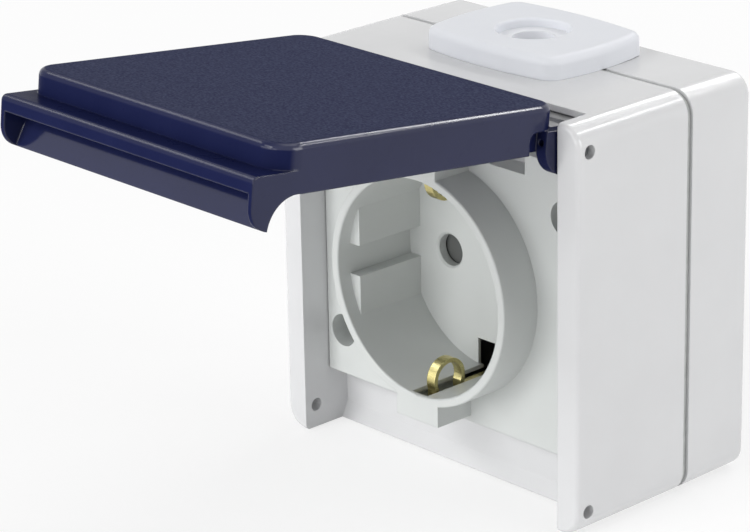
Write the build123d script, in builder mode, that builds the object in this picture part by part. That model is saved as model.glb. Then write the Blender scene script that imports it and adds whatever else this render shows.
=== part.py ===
# Surface-mounted weatherproof socket with a hinged lid.
# Millimetres. +X right as seen from the front, +Y into the wall, +Z up.
# The origin is on the wall face, on the axis of the plug cup.
import os
from math import cos, radians, sin

from build123d import *

os.makedirs("parts", exist_ok=True)

# Housing
width = 72.0
height = 72.0
depth = 42.3
corner_r = 4.0
wall = 2.2
pillar_w = 4.72
front_edge_r = 0.9
back_edge_r = 1.0
wall_setback = 10.28
rear_depth = 14.84
seam_gap = 1.2
rear_draft = 0.6
ramp_rise = 2.8
ramp_reach = 1.4
lip_drop = 1.6
lip_thick = 0.8
lip_reach = 4.88
lip_side_gap = 0.5
canopy_reach = 3.51
canopy_thick = 1.1

# Hinge and the lower side holes
pin_setback = 2.6
pin_drop = 4.49
side_hole_rise = 4.28
side_hole_r = 1.2
pin_play = 0.05
pin_sink = 1.4

# Face plate and plug cup
plate_setback = 5.89
plate_gap = 0.2
plate_bottom_rise = 10.65
plate_top_drop = 13.2
wing_drop = 5.1
wing_start_x = 18.2
collar_proud = 2.15
cup_r = 19.5
cup_wall = 1.6
cup_depth = 17.5
floor_thick = 2.0
rim_r = 0.35
bar_half_w = 5.05
bar_foot = 1.15
rib_face_x = 16.8
rib_inner_z = 2.8
rib_outer_z = 10.2
rib_setback = 2.8
pin_pitch = 19.0
pin_hole_r = 2.9
pin_lead_in = 0.4
slot_side_gap = 0.9
slot_setback = 0.8
slot_floor_in = 4.95
slot_back_gap = 0.6
floor_slot_half_w = 2.5
room_half_w = 3.9
room_skin = 0.65
room_setback = 1.5
floor_skin = 0.6
room_floor_lap = 1.0
cup_clear = 0.6

# Cover screws, diagonal in the face plate
well_inset = 8.85
well_z = 17.15
well_r = 3.0
well_wall = 1.2
well_depth = 14.25
well_floor = 2.2
well_clear = 0.3
screw_hole_clear = 0.2
cover_shank_r = 1.5
cover_head_gap = 0.4
cover_head_h = 2.6
cover_thread = 12.0
cross_w = 0.8
cross_l = 3.4
cross_depth = 1.4
seal_thick = 0.8
seal_gap = 0.3
boss_r = 3.6

# Rear box fixings
wall_hole_pitch = 56.0
wall_hole_r = 2.3
wall_collar_r = 4.5
wall_collar_h = 1.5
post_r = 3.5
post_h = 4.2

# Seam gasket
gasket_inset = 1.0

# Cable entry
entry_half_x = 15.0
entry_wall_gap = 2.65
entry_bulge = 1.4
entry_corner_r = 3.0
entry_thick = 4.0
entry_edge_r = 1.5
neck_inset = 3.4
neck_clear = 0.2
hook_reach = 1.4
hook_thick = 1.2
hook_gap = 0.3
entry_hole_r = 6.4
entry_rim_r = 0.5
step_drop = 1.6
step_r = 3.7
membrane_skin = 0.8

# Lid, in its own frame: u from the pin to the grip, n out of the outer face
lid_open_deg = 6.8
lid_side_gap = 0.8
lid_rear_u = 1.76
lid_close_gap = 0.3
lid_rim_gap = 2.36
lid_skin = 1.7
lid_wall = 1.6
lid_corner_r = 4.5
lid_rear_corner_r = 4.0
lid_edge_r = 1.1
lid_inner_corner_r = 2.9
flange_n = 2.82
flange_reach = 5.06
grip_edge_r = 1.0
grip_tip_back = 3.4
grip_tip_gap = 1.68
grip_root_back = 10.2
grip_back_bow_back = 5.55
grip_back_bow_n = -2.15
grip_lip_bow_back = 1.0
grip_lip_bow_n = -4.7
grip_lip_n = -2.2
scoop_roof_n = 0.2
scoop_root_back = 5.6
scoop_bow_back = 4.0
scoop_bow_n = -2.6
scoop_tip_back = 2.5
scoop_tip_under = 0.2
cheek = 0.9
cavity_front_back = 2.6
ear_r = 4.9
ear_rear_n = 1.6
ear_gap = 0.3
notch_u = 8.26
notch_depth = 1.78
notch_corner_r = 1.5
notch_wall = 1.6
notch_back = 0.8
dimple_r = 0.6
dimple_depth = 1.2
dimple_n = 0.75
dimple_in = 0.73
seal_groove = 0.4
lid_seal_thick = 0.6
lid_seal_in_lap = 0.65
lid_seal_out_lap = 0.7
lid_seal_play = 0.1

# Shutter behind the cup floor
stub_r = 2.0
stub_len = 2.1
shutter_gap = 0.3
shutter_thick = 1.6
shutter_hub_r = 4.4
shutter_pad_r = 4.2
shutter_arm = 5.0

# Contacts and their carrier
carrier_setback = 20.0
carrier_edge = 1.2
carrier_bottom_z = -16.0
carrier_over_tab = 0.8
carrier_corner_r = 3.0
sleeve_r = 3.5
sleeve_bore_r = 2.5
sleeve_slit = 0.8
sleeve_sink = 0.4
pocket_play = 0.3
pocket_floor = 1.6
tail_thick = 0.9
tail_half_w = 2.5
block_gap = 1.8
block_w = 6.0
block_half_z = 3.8
block_h = 7.1
wire_r = 1.7
wire_rise = 2.9
clamp_r = 1.5
clamp_head_r = 2.4
clamp_head_h = 1.6
clamp_slot = 0.7
clamp_slot_depth = 0.8
carrier_screw_x = 17.5
carrier_screw_z = -11.5
carrier_screw_r = 1.5
carrier_head_r = 2.8
carrier_head_h = 2.0
carrier_head_floor = 4.0
carrier_thread = 3.2

# Earth strip
strap_thick = 0.8
strap_half_w = 0.95
strap_out = 1.25
strap_groove = 0.2
strap_sink = 0.1
arch_front = 1.8
arch_rear = 7.9
arch_spring_in = 0.05
arch_crown_in = 4.6
arch_foot_out = 0.6
tab_x = 9.8
tab_drop = 4.8
tab_h = 6.4
tab_end = 0.1

# Levels along Y, measured from the wall face
y_pillar = -depth
y_pin = y_pillar + pin_setback
y_collar = y_pillar - collar_proud
y_plate = y_pillar + plate_setback
y_wall = y_pillar + wall_setback
y_seam_rear = -rear_depth
y_seam_front = y_seam_rear - seam_gap
y_seam_mid = (y_seam_front + y_seam_rear) / 2
y_floor = y_collar + cup_depth
y_floor_back = y_floor + floor_thick
y_well_floor = y_plate + well_depth
y_well_back = y_well_floor + well_floor
y_carrier = y_pillar + carrier_setback
y_carrier_back = -wall - post_h
y_pocket = y_carrier_back - pocket_floor
y_block = y_pocket - tail_thick - block_h
y_wire = y_pocket - tail_thick - wire_rise
y_strap = y_carrier + strap_thick / 2 + strap_sink
y_strap_back = y_strap + strap_thick / 2
y_shutter = y_floor_back + shutter_gap

# Shared sizes
half_w = width / 2
half_h = height / 2
pillar_gap = width - 2 * pillar_w
pin_z = half_h - pin_drop
side_hole_z = side_hole_rise - half_h
plate_bottom_z = plate_bottom_rise - half_h
plate_top_z = half_h - plate_top_drop
wing_top_z = pin_z - wing_drop
bar_bottom_z = plate_bottom_z + bar_foot
cup_out_r = cup_r + cup_wall
pin_x = pin_pitch / 2
strap_z = cup_r + strap_out
arch_foot_z = strap_z + arch_foot_out
arch_spring_z = cup_r - arch_spring_in
arch_crown_z = cup_r - arch_crown_in
slot_half_w = strap_half_w + slot_side_gap
slot_floor_z = cup_r - slot_floor_in
slot_outer_z = strap_z + strap_thick / 2 + slot_back_gap
well_x = half_w - well_inset
well_out_r = well_r + well_wall
cover_head_r = well_r - cover_head_gap
seal_r = well_r - seal_gap
wells = [(-well_x, -well_z), (well_x, well_z)]
posts = [(-carrier_screw_x, carrier_screw_z), (carrier_screw_x, carrier_screw_z)]
block_x = pin_x + sleeve_r + block_gap + block_w / 2
carrier_half_w = block_x + block_w / 2 + carrier_edge
earth_x = tab_x - tab_end - block_w / 2
tab_high_z = strap_z - tab_drop
tab_low_z = tab_high_z - tab_h
earth_z = (tab_low_z + tab_high_z) / 2
carrier_top_z = tab_high_z + carrier_over_tab
entry_half_y = -y_seam_mid - entry_bulge - entry_wall_gap
neck_w = 2 * (entry_half_x - neck_inset)
neck_l = 2 * (entry_half_y - neck_inset)
lid_half_w = pillar_gap / 2 - lid_side_gap
ear_in_x = lid_half_w - notch_depth
ear_out_x = pillar_gap / 2 - ear_gap
size_tol = 0.05


def front_at(y):
    """Plane at depth y that looks to the front: local x is X, local y is Z."""
    return Plane(origin=(0, y, 0), x_dir=(1, 0, 0), z_dir=(0, -1, 0))


# Rear half of the housing
seam_face = Plane(origin=(0, y_seam_rear, 0), x_dir=(1, 0, 0), z_dir=(0, 1, 0))
with BuildPart() as rear_box:
    with BuildSketch(seam_face):
        RectangleRounded(width, height, corner_r)
    extrude(amount=rear_depth, taper=rear_draft)
    fillet(rear_box.faces().sort_by(Axis.Y)[-1].edges(), back_edge_r)
    with BuildSketch(seam_face):
        RectangleRounded(width - 2 * wall, height - 2 * wall, corner_r - wall)
    extrude(amount=rear_depth - wall, taper=rear_draft, mode=Mode.SUBTRACT)
    with BuildSketch(front_at(-wall)):
        with Locations(*wells):
            Circle(boss_r)
    extrude(amount=-wall - y_well_back)
    with BuildSketch(front_at(-wall)):
        with Locations(*posts):
            Circle(post_r)
    extrude(amount=post_h)
    with BuildSketch(front_at(-wall)):
        with GridLocations(wall_hole_pitch, 0, 2, 1):
            Circle(wall_collar_r)
    extrude(amount=wall_collar_h)
    with BuildSketch(front_at(0)):
        with GridLocations(wall_hole_pitch, 0, 2, 1):
            Circle(wall_hole_r)
    extrude(amount=wall + wall_collar_h, mode=Mode.SUBTRACT)
    with BuildSketch(front_at(y_well_back + cover_thread)):
        with Locations(*wells):
            Circle(cover_shank_r)
    extrude(amount=cover_thread, mode=Mode.SUBTRACT)
    with BuildSketch(front_at(y_carrier_back + carrier_thread)):
        with Locations(*posts):
            Circle(carrier_screw_r)
    extrude(amount=carrier_thread, mode=Mode.SUBTRACT)
    with BuildSketch(Plane.XY.offset(half_h)):
        with Locations((0, y_seam_mid)):
            Rectangle(neck_w + 2 * neck_clear, neck_l + 2 * neck_clear)
    extrude(amount=-2 * wall, mode=Mode.SUBTRACT)

# Front half of the housing, with the pillars for the lid
with BuildPart() as front_housing:
    with BuildSketch(front_at(y_seam_front)):
        RectangleRounded(width, height, corner_r)
    extrude(amount=y_seam_front - y_wall)
    with BuildSketch(front_at(y_wall)):
        RectangleRounded(width, height, corner_r)
        Rectangle(pillar_gap, height, mode=Mode.SUBTRACT)
    extrude(amount=wall_setback)
    pillar_edges = front_housing.faces().filter_by(Axis.Y).group_by(Axis.Y)[0].edges()
    fillet(pillar_edges.filter_by(lambda e: abs(e.center().X) > pillar_gap / 2 + size_tol), front_edge_r)
    with BuildSketch(front_at(y_seam_front)):
        RectangleRounded(width - 2 * wall, height - 2 * wall, corner_r - wall)
    extrude(amount=y_seam_front - y_wall - wall, mode=Mode.SUBTRACT)
    with BuildSketch(Plane.YZ):
        with BuildLine():
            Polyline(
                (y_wall, ramp_rise - half_h),
                (y_wall, -half_h),
                (y_wall - ramp_reach, -half_h),
                close=True,
            )
        make_face()
        with Locations((y_wall, half_h)):
            Rectangle(canopy_reach, canopy_thick, align=(Align.MAX, Align.MAX))
    extrude(amount=pillar_gap / 2, both=True)
    with BuildSketch(Plane.YZ):
        with Locations((y_wall, half_h - lip_drop)):
            Rectangle(lip_reach, lip_thick, align=(Align.MAX, Align.MAX))
    extrude(amount=ear_in_x - lip_side_gap, both=True)
    with BuildSketch(front_at(y_wall + wall)):
        Circle(cup_out_r + cup_clear)
        with Locations(*wells):
            Circle(well_out_r + well_clear)
    extrude(amount=wall, mode=Mode.SUBTRACT)
    with BuildSketch(Plane.YZ):
        with Locations((y_pin, pin_z), (y_pin, side_hole_z)):
            Circle(side_hole_r)
    extrude(amount=half_w, both=True, mode=Mode.SUBTRACT)
    with BuildSketch(Plane.XY.offset(half_h)):
        with Locations((0, y_seam_mid)):
            Rectangle(neck_w + 2 * neck_clear, neck_l + 2 * neck_clear)
    extrude(amount=-2 * wall, mode=Mode.SUBTRACT)

# Gasket strip in the seam, open at the top where the entry plate sits
with BuildPart() as housing_gasket:
    with BuildSketch(front_at(y_seam_rear)):
        RectangleRounded(width - 2 * gasket_inset, height - 2 * gasket_inset, corner_r - gasket_inset)
        RectangleRounded(width - 2 * wall, height - 2 * wall, corner_r - wall, mode=Mode.SUBTRACT)
        with Locations((0, half_h)):
            Rectangle(neck_w + 4 * neck_clear, 4 * wall, mode=Mode.SUBTRACT)
    extrude(amount=seam_gap)

# Face plate with collar, plug cup and screw wells
with BuildPart() as socket_insert:
    with BuildSketch(front_at(y_wall)):
        with Locations((0, (plate_bottom_z + wing_top_z) / 2)):
            Rectangle(pillar_gap - 2 * plate_gap, wing_top_z - plate_bottom_z)
        with Locations((0, wing_top_z)):
            Rectangle(2 * wing_start_x, 2 * (wing_top_z - plate_top_z), mode=Mode.SUBTRACT)
    extrude(amount=wall_setback - plate_setback)
    with BuildSketch(front_at(y_floor_back)):
        Circle(cup_out_r)
    extrude(amount=y_floor_back - y_collar)
    with BuildSketch(front_at(y_plate)):
        with Locations((0, (bar_bottom_z + plate_top_z) / 2)):
            Rectangle(2 * bar_half_w, plate_top_z - bar_bottom_z)
    extrude(amount=y_plate - y_collar)
    with BuildSketch(front_at(y_floor)):
        Circle(cup_r)
    extrude(amount=cup_depth, mode=Mode.SUBTRACT)
    rim = socket_insert.edges().filter_by(GeomType.CIRCLE).group_by(Axis.Y)[0]
    fillet(rim, rim_r)
    with BuildSketch(front_at(y_floor)):
        Circle(cup_r + cup_wall / 2)
        Rectangle(2 * rib_face_x, 2 * cup_out_r, mode=Mode.SUBTRACT)
        Rectangle(2 * cup_out_r, 2 * rib_inner_z, mode=Mode.SUBTRACT)
        with Locations((0, rib_outer_z + cup_r / 2), (0, -rib_outer_z - cup_r / 2)):
            Rectangle(2 * cup_out_r, cup_r, mode=Mode.SUBTRACT)
    extrude(amount=cup_depth - rib_setback)
    with BuildSketch(front_at(y_wall)):
        with Locations(*wells):
            Circle(well_out_r)
    extrude(amount=y_wall - y_well_back)
    with BuildSketch(front_at(y_well_floor)):
        with Locations(*wells):
            Circle(well_r)
    extrude(amount=well_depth, mode=Mode.SUBTRACT)
    with BuildSketch(front_at(y_well_back)):
        with Locations(*wells):
            Circle(cover_shank_r + screw_hole_clear)
    extrude(amount=well_floor, mode=Mode.SUBTRACT)
    with BuildSketch(front_at(y_floor_back)):
        Rectangle(2 * slot_half_w, 2 * slot_outer_z)
        Rectangle(2 * slot_half_w, 2 * slot_floor_z, mode=Mode.SUBTRACT)
    extrude(amount=cup_depth + floor_thick - slot_setback, mode=Mode.SUBTRACT)
    with BuildSketch(front_at(y_floor_back)):
        Rectangle(2 * room_half_w, 2 * slot_outer_z)
        Rectangle(2 * room_half_w, 2 * (cup_r + room_skin), mode=Mode.SUBTRACT)
    extrude(amount=cup_depth + floor_thick - room_setback, mode=Mode.SUBTRACT)
    with BuildSketch(front_at(y_floor_back)):
        Rectangle(2 * floor_slot_half_w, 2 * cup_r)
        Rectangle(2 * floor_slot_half_w, 2 * slot_floor_z, mode=Mode.SUBTRACT)
    extrude(amount=floor_thick, mode=Mode.SUBTRACT)
    with BuildSketch(front_at(y_floor_back)):
        Rectangle(2 * room_half_w, 2 * slot_outer_z)
        Rectangle(2 * room_half_w, 2 * (slot_floor_z - room_floor_lap), mode=Mode.SUBTRACT)
    extrude(amount=floor_thick - floor_skin, mode=Mode.SUBTRACT)
    with BuildSketch(front_at(y_floor_back)):
        with GridLocations(pin_pitch, 0, 2, 1):
            Circle(pin_hole_r)
    extrude(amount=floor_thick, mode=Mode.SUBTRACT)
    mouths = socket_insert.edges().filter_by(GeomType.CIRCLE)
    mouths = mouths.filter_by(lambda e: abs(e.radius - pin_hole_r) < size_tol)
    chamfer(mouths.group_by(Axis.Y)[0], pin_lead_in)
    with BuildSketch(front_at(y_floor_back + stub_len)):
        Circle(stub_r)
    extrude(amount=stub_len)

# Shutter that covers both pin holes, turning on the stub
with BuildPart() as safety_shutter:
    with BuildSketch(front_at(y_shutter + shutter_thick)):
        Circle(shutter_hub_r)
        Rectangle(pin_pitch, shutter_arm)
        with GridLocations(pin_pitch, 0, 2, 1):
            Circle(shutter_pad_r)
        Circle(stub_r + pin_play, mode=Mode.SUBTRACT)
    extrude(amount=shutter_thick)

# Insulating carrier for the contacts
with BuildPart() as contact_carrier:
    with BuildSketch(front_at(y_carrier_back)):
        with Locations((0, (carrier_bottom_z + carrier_top_z) / 2)):
            RectangleRounded(2 * carrier_half_w, carrier_top_z - carrier_bottom_z, carrier_corner_r)
    extrude(amount=y_carrier_back - y_carrier)
    with BuildSketch(front_at(y_pocket)):
        with GridLocations(pin_pitch, 0, 2, 1):
            Circle(sleeve_r + pocket_play)
        with GridLocations(pin_x + block_x, 0, 2, 1):
            Rectangle(block_x - pin_x, 2 * (tail_half_w + pocket_play))
        with GridLocations(2 * block_x, 0, 2, 1):
            Rectangle(block_w + 2 * pocket_play, 2 * (block_half_z + pocket_play))
    extrude(amount=y_pocket - y_carrier, mode=Mode.SUBTRACT)
    with BuildSketch(Plane.XY.offset(carrier_top_z)):
        with Locations((-block_x, y_wire), (block_x, y_wire)):
            Rectangle(2 * wire_r, 2 * wire_r)
    extrude(amount=-carrier_top_z, mode=Mode.SUBTRACT)
    with BuildSketch(front_at(y_strap_back)):
        Rectangle(2 * (strap_half_w + strap_groove), 2 * height)
        with Locations((strap_half_w, earth_z)):
            Rectangle(tab_x, tab_h + 2 * strap_groove, align=(Align.MIN, Align.CENTER))
    extrude(amount=y_strap_back - y_carrier, mode=Mode.SUBTRACT)
    with BuildSketch(front_at(y_strap_back + block_h)):
        with Locations((earth_x, earth_z)):
            Rectangle(block_w + 2 * pocket_play, tab_h + 2 * pocket_play)
        with Locations((earth_x, carrier_top_z)):
            Rectangle(2 * wire_r, 2 * (carrier_top_z - earth_z))
    extrude(amount=block_h, mode=Mode.SUBTRACT)
    with BuildSketch(front_at(y_carrier_back)):
        with Locations(*posts):
            Circle(carrier_screw_r + screw_hole_clear)
    extrude(amount=y_carrier_back - y_carrier, mode=Mode.SUBTRACT)
    with BuildSketch(front_at(y_carrier_back - carrier_head_floor)):
        with Locations(*posts):
            Circle(carrier_head_r + pocket_play)
    extrude(amount=y_carrier_back - carrier_head_floor - y_carrier, mode=Mode.SUBTRACT)


def line_contact(side):
    """Slit sleeve for one plug pin with the tail that lies under its clamp block."""
    tail = block_x + block_w / 2 - pin_x
    with BuildPart() as contact:
        with BuildSketch(front_at(y_pocket)):
            with Locations((side * pin_x, 0)):
                Circle(sleeve_r)
        extrude(amount=y_pocket - y_carrier - sleeve_sink)
        with BuildSketch(front_at(y_pocket)):
            with Locations((side * (pin_x + tail / 2), 0)):
                Rectangle(tail, 2 * tail_half_w)
        extrude(amount=tail_thick)
        with BuildSketch(front_at(y_pocket)):
            with Locations((side * pin_x, 0)):
                Circle(sleeve_bore_r)
        extrude(amount=y_pocket - y_carrier, mode=Mode.SUBTRACT)
        with BuildSketch(front_at(y_pocket - 2 * tail_thick)):
            with Locations((side * pin_x, 0)):
                Rectangle(sleeve_slit, 4 * sleeve_r)
        extrude(amount=y_pocket - y_carrier, mode=Mode.SUBTRACT)
    return contact.part


def clamp_block(x, z, y_front, half_z):
    """Clamp block with a conductor hole from above and a screw hole from the front."""
    with BuildPart() as block:
        with BuildSketch(front_at(y_front + block_h)):
            with Locations((x, z)):
                Rectangle(block_w, 2 * half_z)
        extrude(amount=block_h)
        with BuildSketch(Plane.XY.offset(z + half_z)):
            with Locations((x, y_front + block_h - wire_rise)):
                Circle(wire_r)
        extrude(amount=-2 * half_z, mode=Mode.SUBTRACT)
        with BuildSketch(front_at(y_front + block_h - wire_rise)):
            with Locations((x, z)):
                Circle(clamp_r)
        extrude(amount=block_h - wire_rise, mode=Mode.SUBTRACT)
    return block.part


line_contact_left = line_contact(-1)
line_contact_right = line_contact(1)
terminal_left = clamp_block(-block_x, 0, y_block, block_half_z)
terminal_right = clamp_block(block_x, 0, y_block, block_half_z)
terminal_earth = clamp_block(earth_x, earth_z, y_strap_back, tab_h / 2)

# Clamp screws of the three blocks; the earth one bears on the strip's tab
clamp_tip = block_h - wire_rise - wire_r
with BuildPart() as terminal_screws:
    for x, z, y_seat, y_tip in (
        (-block_x, 0, y_block, y_block + clamp_tip),
        (block_x, 0, y_block, y_block + clamp_tip),
        (earth_x, earth_z, y_strap_back - strap_thick, y_strap_back + clamp_tip),
    ):
        with BuildSketch(front_at(y_tip)):
            with Locations((x, z)):
                Circle(clamp_r)
        extrude(amount=y_tip - y_seat)
        with BuildSketch(front_at(y_seat)):
            with Locations((x, z)):
                Circle(clamp_head_r)
        extrude(amount=clamp_head_h)
        with BuildSketch(front_at(y_seat - clamp_head_h + clamp_slot_depth)):
            with Locations((x, z)):
                Rectangle(2 * clamp_head_r, clamp_slot)
        extrude(amount=clamp_slot_depth, mode=Mode.SUBTRACT)

# Earth strip: arched clip, run behind the cup floor, arched clip
with BuildPart() as earth_contact:
    with BuildSketch(Plane.YZ):
        with BuildLine() as strip:
            l1 = Line((y_pillar + arch_front, -arch_foot_z), (y_pillar + arch_front, -arch_spring_z))
            l2 = ThreePointArc(
                l1 @ 1,
                (y_pillar + (arch_front + arch_rear) / 2, -arch_crown_z),
                (y_pillar + arch_rear, -arch_spring_z),
            )
            l3 = Polyline(
                l2 @ 1,
                (y_pillar + arch_rear, -strap_z),
                (y_strap, -strap_z),
                (y_strap, strap_z),
                (y_pillar + arch_rear, strap_z),
                (y_pillar + arch_rear, arch_spring_z),
            )
            l4 = ThreePointArc(
                l3 @ 1,
                (y_pillar + (arch_front + arch_rear) / 2, arch_crown_z),
                (y_pillar + arch_front, arch_spring_z),
            )
            Line(l4 @ 1, (y_pillar + arch_front, arch_foot_z))
        trace(line_width=strap_thick)
    extrude(amount=strap_half_w, both=True)
    with BuildSketch(front_at(y_strap_back)):
        with Locations((0, earth_z)):
            Rectangle(tab_x, tab_h, align=(Align.MIN, Align.CENTER))
        with Locations((earth_x, earth_z)):
            Circle(clamp_r, mode=Mode.SUBTRACT)
    extrude(amount=strap_thick)

# Screws that hold the carrier on its posts
with BuildPart() as carrier_screws:
    for x, z in posts:
        with BuildSketch(front_at(y_carrier_back + carrier_thread)):
            with Locations((x, z)):
                Circle(carrier_screw_r)
        extrude(amount=carrier_thread + carrier_head_floor)
        with BuildSketch(front_at(y_carrier_back - carrier_head_floor)):
            with Locations((x, z)):
                Circle(carrier_head_r)
        extrude(amount=carrier_head_h)

# Screws in the two diagonal wells, with their washers
with BuildPart() as cover_screws:
    for x, z in wells:
        with BuildSketch(front_at(y_well_back + cover_thread)):
            with Locations((x, z)):
                Circle(cover_shank_r)
        extrude(amount=cover_thread + well_floor + seal_thick)
        with BuildSketch(front_at(y_well_floor - seal_thick)):
            with Locations((x, z)):
                Circle(cover_head_r)
        extrude(amount=cover_head_h)
        with BuildSketch(front_at(y_well_floor - seal_thick - cover_head_h + cross_depth)):
            with Locations((x, z)):
                Rectangle(cross_l, cross_w)
                Rectangle(cross_w, cross_l)
        extrude(amount=cross_depth, mode=Mode.SUBTRACT)

with BuildPart() as cover_screw_seals:
    with BuildSketch(front_at(y_well_floor)):
        with Locations(*wells):
            Circle(seal_r)
        with Locations(*wells):
            Circle(cover_shank_r, mode=Mode.SUBTRACT)
    extrude(amount=seal_thick)

# Cable-entry plate, captured between the two housing halves
with BuildPart() as entry_plate:
    with BuildSketch(Plane(origin=(0, y_seam_mid, half_h))) as barrel:
        with BuildLine():
            a1 = ThreePointArc(
                (-entry_half_x, -entry_half_y),
                (0, -entry_half_y - entry_bulge),
                (entry_half_x, -entry_half_y),
            )
            a2 = ThreePointArc(a1 @ 1, (entry_half_x + entry_bulge, 0), (entry_half_x, entry_half_y))
            a3 = ThreePointArc(a2 @ 1, (0, entry_half_y + entry_bulge), (-entry_half_x, entry_half_y))
            ThreePointArc(a3 @ 1, (-entry_half_x - entry_bulge, 0), a1 @ 0)
        make_face()
        fillet(barrel.vertices(), entry_corner_r)
    extrude(amount=entry_thick)
    fillet(entry_plate.faces().sort_by(Axis.Z)[-1].edges(), entry_edge_r)
    with BuildSketch(Plane.XY.offset(half_h)):
        with Locations((0, y_seam_mid)):
            Rectangle(neck_w, neck_l)
    extrude(amount=-wall - hook_gap)
    with BuildSketch(Plane.XY.offset(half_h - wall - hook_gap)):
        with Locations((0, y_seam_mid)):
            Rectangle(neck_w + 2 * hook_reach, neck_l + 2 * hook_reach)
    extrude(amount=-hook_thick)
    with BuildSketch(Plane.XY.offset(half_h + entry_thick)):
        with Locations((0, y_seam_mid)):
            Circle(entry_hole_r)
    extrude(amount=-entry_thick - 2 * wall - hook_thick, mode=Mode.SUBTRACT)
    entry_rim = entry_plate.edges().filter_by(GeomType.CIRCLE)
    entry_rim = entry_rim.filter_by(lambda e: abs(e.radius - entry_hole_r) < size_tol)
    fillet(entry_rim.sort_by(Axis.Z)[-1], entry_rim_r)

# Stepped membrane in the entry plate
step_z = half_h + entry_thick - step_drop
with BuildPart() as entry_membrane:
    with BuildSketch(Plane(origin=(0, y_seam_mid, 0), x_dir=(1, 0, 0), z_dir=(0, -1, 0))):
        with BuildLine():
            Polyline(
                (entry_hole_r, step_z),
                (step_r, step_z),
                (step_r, step_z - step_drop),
                (0, step_z - step_drop),
                (0, step_z - step_drop - membrane_skin),
                (step_r + membrane_skin, step_z - step_drop - membrane_skin),
                (step_r + membrane_skin, step_z - membrane_skin),
                (entry_hole_r, step_z - membrane_skin),
                close=True,
            )
        make_face()
    revolve(axis=Axis((0, y_seam_mid, 0), (0, 0, 1)))

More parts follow.
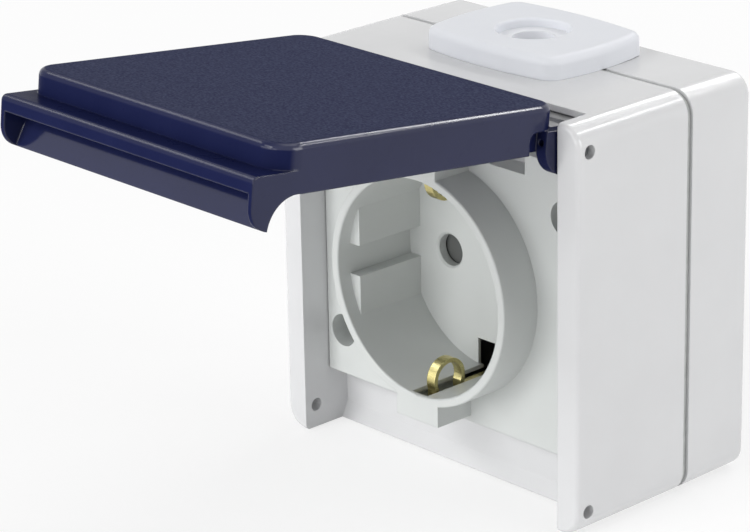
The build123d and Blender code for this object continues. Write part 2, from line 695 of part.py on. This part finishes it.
# Lid, standing open
tilt = radians(lid_open_deg)
lid_u = (0, -cos(tilt), sin(tilt))
lid_n = (0, sin(tilt), cos(tilt))
pin_point = (0, y_pin, pin_z)
lid_side = Plane(origin=pin_point, x_dir=lid_u, z_dir=(-1, 0, 0))
lid_face = Plane(origin=pin_point, x_dir=(1, 0, 0), z_dir=lid_n)
inner_n = pin_setback + collar_proud + lid_close_gap + lid_seal_thick - seal_groove
lid_top_n = inner_n + lid_skin
lid_rim_n = pin_setback + lid_rim_gap - plate_setback
grip_tip_n = pin_setback + grip_tip_gap - wall_setback
grip_u = pin_z + half_h
lid_front_u = grip_u - flange_reach
cavity_front_u = lid_front_u - cavity_front_back
lid_seal_in_r = cup_r - lid_seal_in_lap
lid_seal_out_r = cup_out_r + lid_seal_out_lap
with BuildPart() as lid:
    with BuildSketch(lid_side):
        with BuildLine():
            g1 = Polyline(
                (lid_rear_u, flange_n),
                (lid_rear_u, lid_rim_n),
                (grip_u - grip_root_back, lid_rim_n),
            )
            g2 = ThreePointArc(
                g1 @ 1,
                (grip_u - grip_back_bow_back, grip_back_bow_n),
                (grip_u - grip_tip_back, grip_tip_n),
            )
            g3 = ThreePointArc(
                g2 @ 1,
                (grip_u - grip_lip_bow_back, grip_lip_bow_n),
                (grip_u, grip_lip_n),
            )
            Polyline(g3 @ 1, (grip_u, flange_n), (lid_rear_u, flange_n))
        make_face()
    extrude(amount=lid_half_w, both=True)
    lip_edges = lid.edges().filter_by(Axis.X)
    lip_edges = lip_edges.sort_by_distance(lid_side.from_local_coords((grip_u, flange_n, 0)))
    fillet(lip_edges[0], grip_edge_r)
    with BuildSketch(lid_face.offset(flange_n)) as raised:
        with Locations((0, -(lid_rear_u + lid_front_u) / 2)):
            Rectangle(2 * lid_half_w, lid_front_u - lid_rear_u)
        fillet(raised.vertices().group_by(Axis.Y)[0], lid_corner_r)
        fillet(raised.vertices().group_by(Axis.Y)[-1], lid_rear_corner_r)
    extrude(amount=lid_top_n - flange_n)
    top_face = lid.faces().sort_by_distance(lid_face.from_local_coords((0, -lid_front_u / 2, lid_top_n)))[0]
    fillet(top_face.edges(), lid_edge_r)
    with BuildSketch(lid_face.offset(grip_tip_n)) as cavity:
        with Locations((0, -(lid_rear_u + lid_wall + cavity_front_u) / 2)):
            Rectangle(2 * (lid_half_w - lid_wall), cavity_front_u - lid_rear_u - lid_wall)
        fillet(cavity.vertices().group_by(Axis.Y)[0], lid_inner_corner_r)
    extrude(amount=inner_n - grip_tip_n, mode=Mode.SUBTRACT)
    with BuildSketch(lid_side):
        with BuildLine():
            s1 = Line((grip_u + flange_reach, scoop_roof_n), (grip_u - scoop_root_back, scoop_roof_n))
            s2 = ThreePointArc(
                s1 @ 1,
                (grip_u - scoop_bow_back, scoop_bow_n),
                (grip_u - scoop_tip_back, grip_tip_n - scoop_tip_under),
            )
            Polyline(s2 @ 1, (grip_u + flange_reach, grip_tip_n - scoop_tip_under), s1 @ 0)
        make_face()
    extrude(amount=lid_half_w - cheek, both=True, mode=Mode.SUBTRACT)
    for side in (-1, 1):
        with BuildSketch(lid_side.offset(side * ear_in_x)) as notch:
            with Locations((notch_u, flange_n)):
                Rectangle(2 * notch_u, 2 * ear_r, align=(Align.MAX, Align.MAX))
            fillet(notch.vertices().group_by(Axis.X)[-1].sort_by(Axis.Y)[-1], notch_corner_r)
        extrude(amount=side * 2 * notch_depth, mode=Mode.SUBTRACT)
        with BuildSketch(lid_side.offset(side * (ear_in_x - notch_wall))):
            with Locations((lid_rear_u + lid_wall, lid_rim_n)):
                Rectangle(
                    notch_u + notch_back - lid_rear_u - lid_wall,
                    inner_n - lid_rim_n,
                    align=(Align.MIN, Align.MIN),
                )
        extrude(amount=side * notch_wall)
        with BuildSketch(lid_side.offset(side * ear_in_x)):
            Circle(ear_r)
            Rectangle(ear_r, flange_n, align=(Align.MIN, Align.MIN))
            with Locations((0, flange_n)):
                Rectangle(2 * ear_r, ear_r, align=(Align.CENTER, Align.MIN), mode=Mode.SUBTRACT)
            with Locations((0, ear_rear_n)):
                Rectangle(ear_r, ear_r, align=(Align.MAX, Align.MIN), mode=Mode.SUBTRACT)
        extrude(amount=side * (ear_out_x - ear_in_x))
        dimple = lid_side.from_local_coords((ear_r, dimple_n, side * (lid_half_w - dimple_in)))
        with BuildSketch(Plane(origin=dimple, x_dir=(1, 0, 0), z_dir=lid_u)):
            Circle(dimple_r)
        extrude(amount=-dimple_depth, mode=Mode.SUBTRACT)
    with BuildSketch(lid_side):
        Circle(side_hole_r)
    extrude(amount=half_w, both=True, mode=Mode.SUBTRACT)
    with BuildSketch(lid_face.offset(inner_n)):
        with Locations((0, -pin_z)):
            Circle(lid_seal_out_r + lid_seal_play)
            Circle(lid_seal_in_r - lid_seal_play, mode=Mode.SUBTRACT)
    extrude(amount=seal_groove, mode=Mode.SUBTRACT)

# Flat seal inside the lid, opposite the collar's rim
with BuildPart() as lid_seal:
    with BuildSketch(lid_face.offset(inner_n + seal_groove)):
        with Locations((0, -pin_z)):
            Circle(lid_seal_out_r)
            Circle(lid_seal_in_r, mode=Mode.SUBTRACT)
    extrude(amount=-lid_seal_thick)


def hinge_pin(side):
    """Pin that sits tight in the pillar and runs free in the lid's ear."""
    with BuildPart() as pin:
        with BuildSketch(Plane.YZ.offset(side * (pillar_gap / 2))):
            with Locations((y_pin, pin_z)):
                Circle(side_hole_r)
        extrude(amount=side * (pillar_w - pin_sink))
        with BuildSketch(Plane.YZ.offset(side * ear_in_x)):
            with Locations((y_pin, pin_z)):
                Circle(side_hole_r - pin_play)
        extrude(amount=side * (pillar_gap / 2 - ear_in_x))
    return pin.part


hinge_pin_left = hinge_pin(-1)
hinge_pin_right = hinge_pin(1)

pieces = {
    "rear_box": rear_box.part,
    "front_housing": front_housing.part,
    "housing_gasket": housing_gasket.part,
    "socket_insert": socket_insert.part,
    "safety_shutter": safety_shutter.part,
    "contact_carrier": contact_carrier.part,
    "line_contact_left": line_contact_left,
    "line_contact_right": line_contact_right,
    "terminal_left": terminal_left,
    "terminal_right": terminal_right,
    "terminal_earth": terminal_earth,
    "terminal_screws": terminal_screws.part,
    "earth_contact": earth_contact.part,
    "carrier_screws": carrier_screws.part,
    "cover_screws": cover_screws.part,
    "cover_screw_seals": cover_screw_seals.part,
    "entry_plate": entry_plate.part,
    "entry_membrane": entry_membrane.part,
    "lid": lid.part,
    "lid_seal": lid_seal.part,
    "hinge_pin_left": hinge_pin_left,
    "hinge_pin_right": hinge_pin_right,
}
for label, piece in pieces.items():
    piece.label = label
    export_step(piece, f"parts/{label}.step")
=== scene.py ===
from math import cos, radians, sin

import bpy
from mathutils import Matrix, Vector


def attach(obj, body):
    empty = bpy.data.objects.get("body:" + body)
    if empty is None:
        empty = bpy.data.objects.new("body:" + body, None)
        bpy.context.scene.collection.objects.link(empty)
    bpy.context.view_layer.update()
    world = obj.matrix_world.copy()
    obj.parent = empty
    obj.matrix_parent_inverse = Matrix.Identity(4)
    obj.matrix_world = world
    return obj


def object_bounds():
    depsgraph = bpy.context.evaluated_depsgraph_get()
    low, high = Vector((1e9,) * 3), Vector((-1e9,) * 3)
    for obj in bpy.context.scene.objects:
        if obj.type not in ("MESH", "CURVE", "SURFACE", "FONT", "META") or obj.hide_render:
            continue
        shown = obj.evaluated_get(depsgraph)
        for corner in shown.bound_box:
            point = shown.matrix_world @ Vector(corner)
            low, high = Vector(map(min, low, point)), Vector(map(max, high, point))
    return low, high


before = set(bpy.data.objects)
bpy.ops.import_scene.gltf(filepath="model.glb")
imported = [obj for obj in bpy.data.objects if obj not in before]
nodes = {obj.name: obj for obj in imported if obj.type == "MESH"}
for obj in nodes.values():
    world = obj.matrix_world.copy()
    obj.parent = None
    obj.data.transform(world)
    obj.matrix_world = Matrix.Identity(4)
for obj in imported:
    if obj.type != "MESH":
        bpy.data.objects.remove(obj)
cad_low, cad_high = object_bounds()
scene = bpy.context.scene
scene.view_settings.view_transform = "Standard"

# Noise scales, in features per metre
CLOUD, SHEEN, FINE_GRAIN = 55.0, 420.0, 5200.0
DRAWN_LINES, DULL_PATCH = 1500.0, 240.0
BLOOM, BLOOM_SHEEN, RUBBER_GRAIN = 600.0, 900.0, 3000.0
LID_CLOUD, LID_SHEEN, LID_GRAIN = 60.0, 300.0, 2300.0

# Heights of the bumps, in metres
FINE_DEPTH, LINE_DEPTH, RUBBER_DEPTH, LID_DEPTH = 0.00004, 0.00003, 0.00005, 0.00012

# Rounded edges: cosine between soft and true normal where an edge begins and where it is full
EDGE_COSINES = (0.995, 0.75)
METAL_EDGE, LID_EDGE = 0.00012, 0.00045

# The lid's own directions at rest, and its pin, from which its places are measured
LID_TILT = radians(6.8)
LID_OUT = (0.0, sin(LID_TILT), cos(LID_TILT))
LID_ALONG = (0.0, -cos(LID_TILT), sin(LID_TILT))
SIDEWAYS = (1.0, 0.0, 0.0)
PIN = (0.0, -0.0397, 0.03151)
STEP_ALONG, STEP_OUT = 0.06245, 0.00282

# Where the lid's finishes begin and end: heights and distances in metres, the others cosines
RAISED_HEIGHTS = (0.0062, 0.0067)
GRIP_HEIGHTS = (0.0008, 0.0014)
FOOT_DISTANCES = (0.0005, 0.0008)
FLAT_COSINES = (0.985, 0.998)
SIDE_COSINES = (0.90, 0.97)
ROUND_START, ROUND_END = (0.06, 0.2), (0.95, 0.985)
SHINE_COSINES = (0.2, 0.55)
SIDE_POLISH, ROUND_POLISH, FRONT_SHINE = 0.72, 0.9, 0.38


class Graph:
    """Small helper that adds and links shader nodes in one material."""

    def __init__(self, name):
        self.mat = bpy.data.materials.new(name)
        self.mat.use_nodes = True
        self.tree = self.mat.node_tree
        self.shader = self.tree.nodes["Principled BSDF"]
        self.place = self.add("ShaderNodeTexCoord").outputs["Object"]

    def add(self, kind, **props):
        node = self.tree.nodes.new(kind)
        for key, value in props.items():
            setattr(node, key, value)
        return node

    def link(self, out, into):
        self.tree.links.new(out, into)

    def noise(self, scale, detail=3.0, rough=0.5, stretch=None):
        """Noise in object space; scale is features per metre."""
        tex = self.add("ShaderNodeTexNoise")
        tex.inputs["Scale"].default_value = scale
        tex.inputs["Detail"].default_value = detail
        tex.inputs["Roughness"].default_value = rough
        if stretch:
            mapping = self.add("ShaderNodeMapping")
            mapping.inputs["Scale"].default_value = stretch
            self.link(self.place, mapping.inputs["Vector"])
            self.link(mapping.outputs["Vector"], tex.inputs["Vector"])
        else:
            self.link(self.place, tex.inputs["Vector"])
        return tex.outputs["Fac"]

    def spread(self, value, low=0.0, high=1.0, start=0.35, end=0.65):
        """Maps start to end onto low to high; the defaults suit a noise."""
        node = self.add("ShaderNodeMapRange")
        node.inputs["From Min"].default_value = start
        node.inputs["From Max"].default_value = end
        node.inputs["To Min"].default_value = low
        node.inputs["To Max"].default_value = high
        self.link(value, node.inputs["Value"])
        return node.outputs["Result"]

    def math(self, op, a, b=None):
        node = self.add("ShaderNodeMath", operation=op)
        for k, v in enumerate((a, b)):
            if v is None:
                continue
            if isinstance(v, (int, float)):
                node.inputs[k].default_value = v
            else:
                self.link(v, node.inputs[k])
        return node.outputs["Value"]

    def mix(self, fac, a, b):
        node = self.add("ShaderNodeMix", data_type="RGBA")
        for key, v in (("Factor", fac), ("A", a), ("B", b)):
            socket = [s for s in node.inputs if s.name == key and s.enabled][0]
            if isinstance(v, (int, float)):
                socket.default_value = v
            elif isinstance(v, tuple):
                socket.default_value = (*v, 1.0)
            else:
                self.link(v, socket)
        return [s for s in node.outputs if s.enabled][0]

    def dot(self, vector, constant):
        node = self.add("ShaderNodeVectorMath", operation="DOT_PRODUCT")
        node.inputs[1].default_value = constant
        self.link(vector, node.inputs[0])
        return node.outputs["Value"]

    def bump(self, height, strength, distance, normal=None):
        node = self.add("ShaderNodeBump")
        node.inputs["Strength"].default_value = strength
        node.inputs["Distance"].default_value = distance
        self.link(height, node.inputs["Height"])
        if normal is not None:
            self.link(normal, node.inputs["Normal"])
        return node.outputs["Normal"]

    def round_edges(self, radius):
        """Normal with softly rounded edges, and a mask that is 1 along those edges."""
        soft = self.add("ShaderNodeBevel", samples=6)
        soft.inputs["Radius"].default_value = radius
        geo = self.add("ShaderNodeNewGeometry")
        dot = self.add("ShaderNodeVectorMath", operation="DOT_PRODUCT")
        self.link(soft.outputs["Normal"], dot.inputs[0])
        self.link(geo.outputs["Normal"], dot.inputs[1])
        mask = self.spread(dot.outputs["Value"], 0.0, 1.0, *EDGE_COSINES)
        return soft.outputs["Normal"], mask

    def set(self, **values):
        for key, value in values.items():
            self.shader.inputs[key.replace("_", " ")].default_value = value

    def out(self, color=None, rough=None, normal=None):
        for key, value in (("Base Color", color), ("Roughness", rough), ("Normal", normal)):
            if value is not None:
                self.link(value, self.shader.inputs[key])
        return self.mat


def moulded(name, base, shade, rough, grain, edge=0.00025, gloss=0.0):
    """Moulded plastic: faint clouding, fine spark-eroded grain, and a painted highlight that lightens
    the edges.
    """
    g = Graph(name)
    g.set(Coat_Weight=gloss, Coat_Roughness=0.1)
    soft, mask = g.round_edges(edge)
    cloud = g.spread(g.noise(CLOUD, 4.0))
    tone = g.mix(cloud, base, shade)
    # Painted highlight: the colour along the rounded edges is lightened towards white
    painted_edge_highlight = tuple(min(1.0, c + 0.12 * (1.0 - c)) for c in base)
    color = g.mix(g.math("MULTIPLY", mask, 0.7), tone, painted_edge_highlight)
    fine = g.noise(FINE_GRAIN, 2.0)
    roughness = g.spread(g.noise(SHEEN, 3.0), rough - 0.015, rough + 0.02)
    return g.out(color, roughness, g.bump(fine, grain, FINE_DEPTH, soft))


def metal(name, base, dark, rough, stretch):
    """Stamped or turned metal: drawn lines, duller patches, and a painted highlight that brightens the
    edges.
    """
    g = Graph(name)
    g.set(Metallic=1.0)
    soft, mask = g.round_edges(METAL_EDGE)
    lines = g.noise(DRAWN_LINES, 3.0, 0.6, stretch)
    patch = g.spread(g.noise(DULL_PATCH, 3.0))
    tone = g.mix(patch, base, dark)
    # Painted highlight: the colour along the rounded edges is brighter
    painted_edge_glint = tuple(min(1.0, 1.15 * c) for c in base)
    color = g.mix(mask, tone, painted_edge_glint)
    roughness = g.spread(lines, rough - 0.07, rough + 0.1)
    return g.out(color, roughness, g.bump(lines, 0.12, LINE_DEPTH, soft))


def rubber(name, base, shade):
    """Dull rubber with a powdery bloom."""
    g = Graph(name)
    g.set(Specular_IOR_Level=0.3)
    bloom = g.spread(g.noise(BLOOM, 4.0))
    roughness = g.spread(g.noise(BLOOM_SHEEN, 2.0), 0.62, 0.8)
    pores = g.noise(RUBBER_GRAIN, 2.0)
    return g.out(g.mix(bloom, base, shade), roughness, g.bump(pores, 0.2, RUBBER_DEPTH))


def lid_plastic(name):
    """Navy plastic: matt grain on the raised outer face, whose lighter colour and light specks are a
    painted sheen and painted glints; smooth elsewhere, polished sides and edges.
    """
    g = Graph(name)
    g.set(Specular_IOR_Level=0.01, Coat_Roughness=0.12)
    soft, mask = g.round_edges(LID_EDGE)
    facing = g.add("ShaderNodeTexCoord").outputs["Normal"]
    outward = g.dot(facing, LID_OUT)
    from_pin = g.add("ShaderNodeVectorMath", operation="SUBTRACT")
    from_pin.inputs[1].default_value = PIN
    g.link(g.place, from_pin.inputs[0])
    height = g.dot(from_pin.outputs["Vector"], LID_OUT)

    # Grain on the raised face only: the grain pattern is real texture, while its colour, lighter than
    # the smooth navy, is a painted sheen and its light specks are painted glints
    flat = g.spread(outward, 0.0, 1.0, *FLAT_COSINES)
    raised = g.spread(height, 0.0, 1.0, *RAISED_HEIGHTS)
    face = g.math("MULTIPLY", flat, raised)
    grain = g.noise(LID_GRAIN, 2.0, 0.6)
    glint_specks = g.spread(grain, 0.0, 1.0, 0.36, 0.66)
    # Painted sheen and glints: the grained colour is several times lighter than the smooth navy, with
    # lighter specks
    grain_and_sheen = g.mix(glint_specks, (0.013, 0.016, 0.048), (0.054, 0.061, 0.108))
    cloud = g.spread(g.noise(LID_CLOUD, 3.0))
    smooth = g.mix(cloud, (0.0092, 0.0122, 0.049), (0.0115, 0.0148, 0.056))
    color = g.mix(face, smooth, grain_and_sheen)

    # Polish on the sides, the rounded forms and the edges, apart from the foot of the step
    side = g.spread(g.math("ABSOLUTE", g.dot(facing, SIDEWAYS)), 0.0, SIDE_POLISH, *SIDE_COSINES)
    leaning = g.spread(outward, 0.0, ROUND_POLISH, *ROUND_START)
    rounded = g.math("MULTIPLY", leaning, g.spread(outward, 1.0, 0.0, *ROUND_END))
    along = g.math("SUBTRACT", g.dot(from_pin.outputs["Vector"], LID_ALONG), STEP_ALONG)
    above = g.math("SUBTRACT", height, STEP_OUT)
    from_foot = g.math("MAXIMUM", g.math("ABSOLUTE", along), g.math("ABSOLUTE", above))
    edges = g.math("MULTIPLY", mask, g.spread(from_foot, 0.0, 1.0, *FOOT_DISTANCES))

    # Front edges above the grip shine less than side edges
    sideways = g.math("ABSOLUTE", g.dot(soft, SIDEWAYS))
    below = g.spread(height, 1.0, 0.0, *GRIP_HEIGHTS)
    shine = g.math("MAXIMUM", g.spread(sideways, FRONT_SHINE, 1.0, *SHINE_COSINES), below)
    edge_polish = g.math("MULTIPLY", g.math("MAXIMUM", rounded, edges), shine)
    g.link(g.math("MAXIMUM", side, edge_polish), g.shader.inputs["Coat Weight"])
    g.link(soft, g.shader.inputs["Coat Normal"])

    rough_face = g.spread(grain, 0.5, 0.66)
    rough_rest = g.spread(g.noise(LID_SHEEN, 3.0), 0.26, 0.34)
    rest = g.math("SUBTRACT", 1.0, face)
    roughness = g.math("ADD", g.math("MULTIPLY", face, rough_face), g.math("MULTIPLY", rest, rough_rest))
    hills = g.math("MULTIPLY", grain, face)
    return g.out(color, roughness, g.bump(hills, 0.35, LID_DEPTH, soft))


housing = moulded("housing_plastic", (0.649, 0.652, 0.660), (0.630, 0.633, 0.641), 0.25, 0.06, gloss=0.3)
insert = moulded("insert_plastic", (0.612, 0.632, 0.620), (0.590, 0.610, 0.598), 0.40, 0.12, edge=0.0002)
white = moulded("entry_plastic", (0.735, 0.75, 0.785), (0.71, 0.725, 0.765), 0.46, 0.12, edge=0.0003)
film = moulded("membrane_elastomer", (0.79, 0.80, 0.83), (0.76, 0.77, 0.80), 0.52, 0.2, edge=0.0002)
# Painted shade: the shutter is coloured dark grey so the socket's pin holes look shaded
shaded_shutter = moulded("shutter_plastic", (0.115, 0.120, 0.117), (0.100, 0.105, 0.102), 0.5, 0.2, edge=0.0002)
cream = moulded("carrier_moulding", (0.62, 0.58, 0.48), (0.57, 0.53, 0.43), 0.55, 0.3, edge=0.0002)
navy = lid_plastic("lid_plastic")
brass = metal("contact_brass", (0.68, 0.61, 0.29), (0.54, 0.47, 0.20), 0.30, (0.25, 3.0, 3.0))
steel = metal("screw_steel", (0.60, 0.61, 0.62), (0.46, 0.47, 0.48), 0.34, (2.0, 0.4, 2.0))
# Painted shade: the hinge pins' steel is darkened so the hinge holes in the side pillars look shaded
shaded_pin_steel = metal("shaded_pin_steel", (0.30, 0.31, 0.32), (0.22, 0.23, 0.24), 0.42, (2.0, 0.4, 2.0))
black = rubber("seal_rubber", (0.018, 0.018, 0.02), (0.032, 0.032, 0.034))
gasket = rubber("gasket_foam", (0.45, 0.465, 0.455), (0.39, 0.405, 0.395))

looks = {
    housing: ("rear_box", "front_housing"),
    insert: ("socket_insert",),
    white: ("entry_plate",),
    film: ("entry_membrane",),
    shaded_shutter: ("safety_shutter",),
    cream: ("contact_carrier",),
    navy: ("lid",),
    brass: ("earth_contact", "line_contact_left", "line_contact_right",
            "terminal_left", "terminal_right", "terminal_earth"),
    steel: ("terminal_screws", "carrier_screws", "cover_screws"),
    shaded_pin_steel: ("hinge_pin_left", "hinge_pin_right"),
    black: ("cover_screw_seals", "lid_seal"),
    gasket: ("housing_gasket",),
}
for material, names in looks.items():
    for name in names:
        slots = nodes[name].data.materials
        slots.clear()
        slots.append(material)

# Squeezed lip of the gasket in the seam, seen from outside; LIP holds (y, inset from the outline)
HALF, CORNER, NECK = 0.036, 0.004, 0.012
LIP = ((-0.01486, 0.00098), (-0.01486, 0.00055), (-0.01508, 0.00047), (-0.01544, 0.00044),
       (-0.01580, 0.00047), (-0.01602, 0.00055), (-0.01602, 0.00098))
DEEP_INSET, NECK_RISE = 0.0009, 0.0003
ARC_STEPS = 12
ARC_STEP_DEG = 90 / ARC_STEPS


def seam_path(inset):
    """Points along the housing's outline, from the entry neck round to its other side.

    The outer lines rise towards the neck.
    """
    reach, r = HALF - inset, CORNER - inset
    rise = NECK_RISE if inset < DEEP_INSET else 0.0
    points = [(NECK, reach + rise)]
    for cx, cz, start in ((1, 1, 90), (1, -1, 0), (-1, -1, -90), (-1, 1, -180)):
        for k in range(ARC_STEPS + 1):
            a = radians(start - ARC_STEP_DEG * k)
            points.append((cx * (reach - r) + r * cos(a), cz * (reach - r) + r * sin(a)))
    points.append((-NECK, reach + rise))
    return points


rows = [[(x, y, z) for x, z in seam_path(inset)] for y, inset in LIP]
count, around = len(rows[0]), len(LIP)
verts = [row[k] for k in range(count) for row in rows]
faces = []
for k in range(count - 1):
    for m in range(around):
        n = (m + 1) % around
        faces.append((k * around + m, k * around + n, (k + 1) * around + n, (k + 1) * around + m))
faces.append(tuple(range(around))[::-1])
faces.append(tuple((count - 1) * around + m for m in range(around)))
lip_mesh = bpy.data.meshes.new("gasket_lip")
lip_mesh.from_pydata(verts, [], faces)
lip_mesh.materials.append(gasket)
lip = bpy.data.objects.new("gasket_lip", lip_mesh)
scene.collection.objects.link(lip)
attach(lip, "housing")


def larger(tree, a, b):
    """Larger of two values, as a node of the tree."""
    node = tree.nodes.new("ShaderNodeMath")
    node.operation = "MAXIMUM"
    tree.links.new(a, node.inputs[0])
    tree.links.new(b, node.inputs[1])
    return node.outputs["Value"]


def backdrop_rays(tree):
    """1 for camera, transmission and glossy rays, which see a backdrop; 0 for those that carry light."""
    rays = tree.nodes.new("ShaderNodeLightPath").outputs
    straight = larger(tree, rays["Is Camera Ray"], rays["Is Transmission Ray"])
    return larger(tree, straight, rays["Is Glossy Ray"])


# Floor just under the housing; it glows as a backdrop, more so further off
FLOOR_HALF, FLOOR_DROP = 3.0, 0.0002
FADE_DISTANCES = (0.12, 0.50)
GLOW_NEAR, GLOW_FAR = 0.70, 1.0
floor_z = cad_low.z - FLOOR_DROP
corners = [(x * FLOOR_HALF, y * FLOOR_HALF, floor_z) for x, y in ((-1, -1), (1, -1), (1, 1), (-1, 1))]
floor_mesh = bpy.data.meshes.new("floor")
floor_mesh.from_pydata(corners, [], [(0, 1, 2, 3)])
floor = bpy.data.objects.new("floor", floor_mesh)
scene.collection.objects.link(floor)
paper = Graph("floor_paper")
paper.set(Base_Color=(0.97, 0.97, 0.97, 1.0), Roughness=0.9, Specular_IOR_Level=0.0)
reach = paper.add("ShaderNodeVectorMath", operation="LENGTH")
paper.link(paper.place, reach.inputs[0])
fade = paper.spread(reach.outputs["Value"], GLOW_NEAR, GLOW_FAR, *FADE_DISTANCES)
share = paper.math("MULTIPLY", backdrop_rays(paper.tree), fade)
glow = paper.add("ShaderNodeEmission")
blend = paper.add("ShaderNodeMixShader")
paper.link(share, blend.inputs["Fac"])
paper.link(paper.shader.outputs["BSDF"], blend.inputs[1])
paper.link(glow.outputs["Emission"], blend.inputs[2])
paper.link(blend.outputs["Shader"], paper.tree.nodes["Material Output"].inputs["Surface"])
floor_mesh.materials.append(paper.mat)

# White surroundings, softer as a light than as a backdrop
LIGHT_LEVEL, BACKDROP_LEVEL = 0.20, 1.0
world = bpy.data.worlds.new("studio")
scene.world = world
world.use_nodes = True
tree = world.node_tree
back = tree.nodes["Background"]
level = tree.nodes.new("ShaderNodeMapRange")
level.inputs["To Min"].default_value = LIGHT_LEVEL
level.inputs["To Max"].default_value = BACKDROP_LEVEL
tree.links.new(backdrop_rays(tree), level.inputs["Value"])
back.inputs["Color"].default_value = (1.0, 1.0, 1.0, 1.0)
tree.links.new(level.outputs["Result"], back.inputs["Strength"])

AIM = Vector((0.0, -0.05, 0.0))


def softbox(name, toward, distance, size, power):
    """Rectangular area lamp in a direction from the object, aimed at it."""
    lamp = bpy.data.lights.new(name, "AREA")
    lamp.energy = power
    lamp.shape = "RECTANGLE"
    lamp.size, lamp.size_y = size
    obj = bpy.data.objects.new(name, lamp)
    direction = Vector(toward).normalized()
    obj.location = AIM + direction * distance
    obj.rotation_euler = direction.to_track_quat("Z", "Y").to_euler()
    scene.collection.objects.link(obj)


softbox("top", (0.10, 0.30, 0.95), 1.0, (0.6, 0.6), 1.3)
softbox("front", (-0.24, -0.95, 0.17), 1.1, (0.8, 0.45), 5.2)
softbox("front_right", (0.30, -0.95, 0.10), 1.1, (0.4, 0.4), 2.0)
softbox("front_high", (-0.15, -0.78, 0.60), 1.1, (0.6, 0.3), 4.3)
softbox("right", (0.92, 0.34, 0.27), 1.0, (0.6, 0.5), 4.2)
softbox("edge_back", (-0.11, 0.755, 0.645), 0.9, (0.5, 0.05), 1.4)
softbox("edge_right", (0.40, 0.639, 0.657), 0.9, (0.3, 0.04), 0.8)
softbox("edge_left", (-0.69, -0.20, 0.69), 0.9, (0.5, 0.12), 1.0)

# Camera solved from the photograph's edges: focal length and centre in pixels, its place in millimetres
IMAGE_W, IMAGE_H, SENSOR = 750.0, 532.0, 36.0
AZ, EL, ROLL = radians(47.113), radians(20.1), radians(-1.165)
FOCAL, CX, CY = 3317.03, 368.30, 260.14
SIDE, RISE, AWAY = -9.587, 4.381, 566.188
PILLAR_Y = -42.3
MM_PER_M = 1000.0
right = Vector((cos(AZ), sin(AZ), 0.0))
toward = Vector((sin(AZ) * cos(EL), -cos(AZ) * cos(EL), sin(EL)))
up = toward.cross(right)
rolled_right = cos(ROLL) * right + sin(ROLL) * up
rolled_up = cos(ROLL) * up - sin(ROLL) * right
spot = (SIDE * rolled_right + RISE * rolled_up + AWAY * toward + Vector((0.0, PILLAR_Y, 0.0))) / MM_PER_M
lens = bpy.data.cameras.new("camera")
lens.sensor_fit = "HORIZONTAL"
lens.sensor_width = SENSOR
lens.lens = FOCAL * SENSOR / IMAGE_W
lens.shift_x = (IMAGE_W / 2 - CX) / IMAGE_W
lens.shift_y = (CY - IMAGE_H / 2) / IMAGE_W
lens.clip_start = 0.01
camera = bpy.data.objects.new("camera", lens)
turn = Matrix((rolled_right, rolled_up, toward)).transposed().to_4x4()
camera.matrix_world = Matrix.Translation(spot) @ turn
scene.collection.objects.link(camera)
scene.camera = camera
